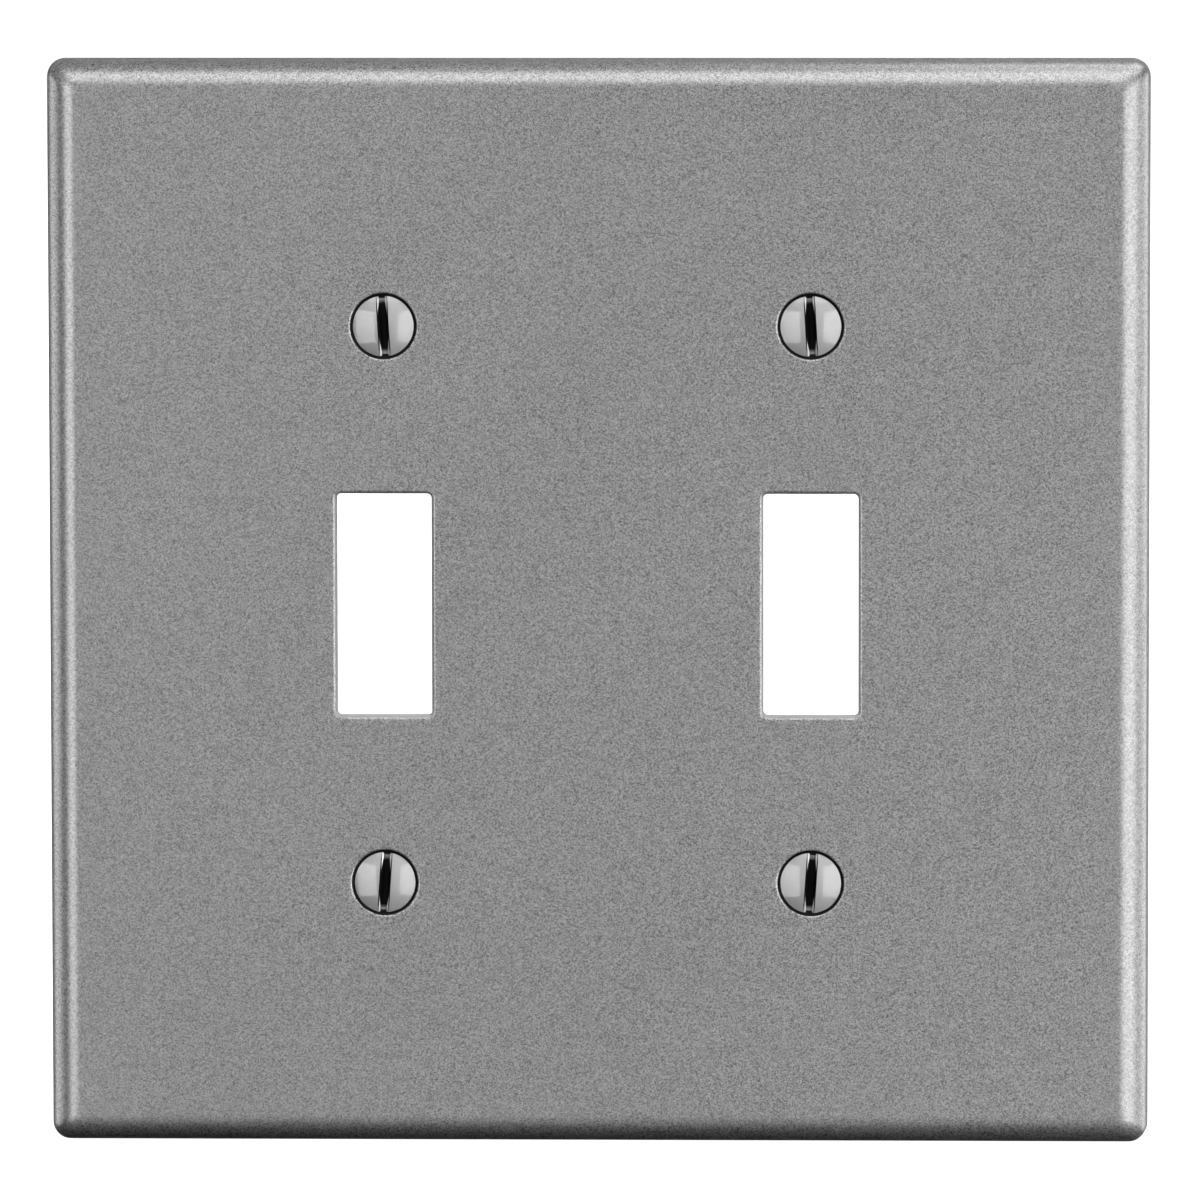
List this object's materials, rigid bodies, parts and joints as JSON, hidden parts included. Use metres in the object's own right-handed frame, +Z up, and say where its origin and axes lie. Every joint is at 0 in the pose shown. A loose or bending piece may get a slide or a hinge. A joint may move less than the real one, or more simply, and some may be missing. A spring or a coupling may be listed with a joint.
{
  "type": "two-gang toggle switch wall plate",
  "caption": "Flat grey wall plate with rolled edges that covers two side-by-side toggle switches, fixed by captive slotted oval-head screws.",
  "frame": {"origin": "centre of the four-screw pattern, in the wall plane that the plate's back rim lies in", "axes": "+X right and +Z up as seen from the front, +Y into the wall along the screws, so the face looks along -Y"},
  "size_m": [0.119, 0.0135, 0.1176],
  "materials": {
    "plate_plastic": "fine satin texture, moulded grey nylon",
    "screw_metal": "light grey satin paint on steel"
  },
  "bodies": {
    "plate": {"wall_plate": "plate_plastic"},
    "upper_left_screw": {"screw_upper_left": "screw_metal"},
    "upper_right_screw": {"screw_upper_right": "screw_metal"},
    "lower_left_screw": {"screw_lower_left": "screw_metal"},
    "lower_right_screw": {"screw_lower_right": "screw_metal"}
  },
  "joints": [
    {"name": "turn_upper_left_screw", "type": "hinge", "parent": "plate", "child": "upper_left_screw", "pos_m": [-0.02302, 0, 0.03017], "axis": [0, 1, 0], "continuous": true},
    {"name": "turn_upper_right_screw", "type": "hinge", "parent": "plate", "child": "upper_right_screw", "pos_m": [0.02302, 0, 0.03017], "axis": [0, 1, 0], "continuous": true},
    {"name": "turn_lower_left_screw", "type": "hinge", "parent": "plate", "child": "lower_left_screw", "pos_m": [-0.02302, 0, -0.03017], "axis": [0, 1, 0], "continuous": true},
    {"name": "turn_lower_right_screw", "type": "hinge", "parent": "plate", "child": "lower_right_screw", "pos_m": [0.02302, 0, -0.03017], "axis": [0, 1, 0], "continuous": true}
  ]
}
